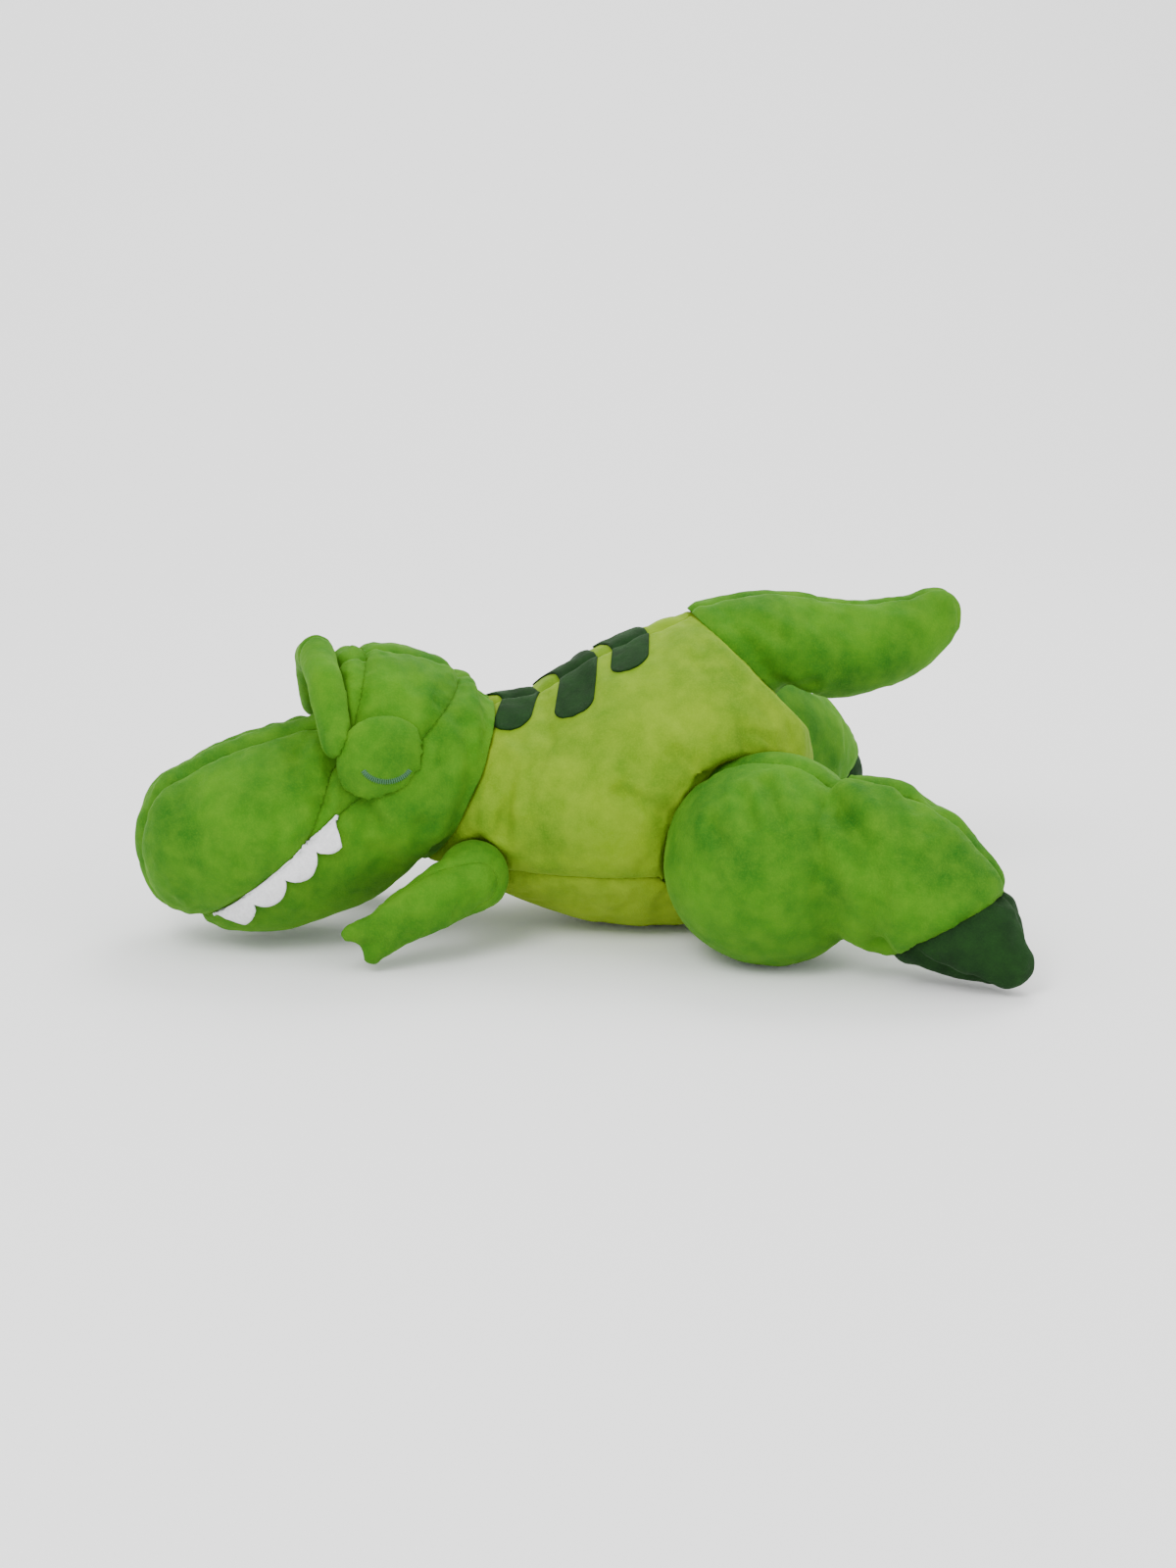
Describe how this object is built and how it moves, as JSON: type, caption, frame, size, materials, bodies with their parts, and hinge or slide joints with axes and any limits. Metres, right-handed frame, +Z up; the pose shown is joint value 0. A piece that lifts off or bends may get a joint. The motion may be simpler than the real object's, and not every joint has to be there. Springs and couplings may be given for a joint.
{
  "type": "stuffed dinosaur",
  "caption": "Large soft dinosaur that lies on its belly with splayed legs, short arms, a raised tail, felt teeth and dark back stripes.",
  "frame": {"origin": "bottom centre of the bounding box, on the floor", "axes": "+X from head to tail, +Y to the toy's right side, +Z up"},
  "size_m": [0.5816, 0.465, 0.2311],
  "materials": {
    "body_plush": "short-pile plush, soft sheen",
    "belly_plush": "short-pile plush, soft sheen",
    "limb_plush": "short-pile plush, soft sheen",
    "dark_plush": "short-pile plush, soft sheen",
    "felt": "matte felt",
    "filling": "white polyester fibre"
  },
  "bodies": {
    "torso": {"torso_core": "filling", "torso_side_left": "body_plush", "torso_side_right": "body_plush", "belly_panel": "belly_plush", "back_stripe_front": "dark_plush", "back_stripe_middle": "dark_plush", "back_stripe_rear": "dark_plush"},
    "head": {"head_core": "filling", "head_side_left": "limb_plush", "head_side_right": "limb_plush", "muzzle_side_left": "limb_plush", "muzzle_side_right": "limb_plush", "muzzle_gusset": "limb_plush", "jaw_left": "limb_plush", "jaw_right": "limb_plush", "teeth_left": "felt", "teeth_right": "felt", "eyelid_left": "limb_plush", "eyelid_right": "limb_plush", "brow_left": "limb_plush", "brow_right": "limb_plush"},
    "tail": {"tail_core": "filling", "tail_side_left": "limb_plush", "tail_side_right": "limb_plush"},
    "leg_left": {"leg_core_left": "filling", "leg_outer_left": "limb_plush", "leg_inner_left": "limb_plush", "sole_left": "dark_plush"},
    "leg_right": {"leg_core_right": "filling", "leg_outer_right": "limb_plush", "leg_inner_right": "limb_plush", "sole_right": "dark_plush"},
    "arm_left": {"arm_core_left": "filling", "arm_outer_left": "limb_plush", "arm_inner_left": "limb_plush"},
    "arm_right": {"arm_core_right": "filling", "arm_outer_right": "limb_plush", "arm_inner_right": "limb_plush"}
  },
  "joints": [
    {"name": "neck_nod", "type": "hinge", "parent": "torso", "child": "head", "pos_m": [-0.0709, 0, 0.108], "axis": [0, 1, 0], "range_deg": [-2, 12], "stiffness_Nm_per_rad": 10},
    {"name": "tail_lift", "type": "hinge", "parent": "torso", "child": "tail", "pos_m": [0.1231, 0, 0.188], "axis": [0, 1, 0], "range_deg": [-15, 15], "stiffness_Nm_per_rad": 3},
    {"name": "leg_left_lift", "type": "hinge", "parent": "torso", "child": "leg_left", "pos_m": [0.1251, -0.114, 0.0705], "axis": [0, 1, 0], "range_deg": [-15, 0], "stiffness_Nm_per_rad": 5},
    {"name": "leg_right_lift", "type": "hinge", "parent": "torso", "child": "leg_right", "pos_m": [0.1251, 0.114, 0.0705], "axis": [0, 1, 0], "range_deg": [-15, 0], "stiffness_Nm_per_rad": 5},
    {"name": "arm_left_lift", "type": "hinge", "parent": "torso", "child": "arm_left", "pos_m": [-0.0699, -0.07, 0.057], "axis": [0, 1, 0], "range_deg": [-2, 25], "stiffness_Nm_per_rad": 0.8},
    {"name": "arm_right_lift", "type": "hinge", "parent": "torso", "child": "arm_right", "pos_m": [-0.0699, 0.07, 0.057], "axis": [0, 1, 0], "range_deg": [-2, 25], "stiffness_Nm_per_rad": 0.8}
  ]
}
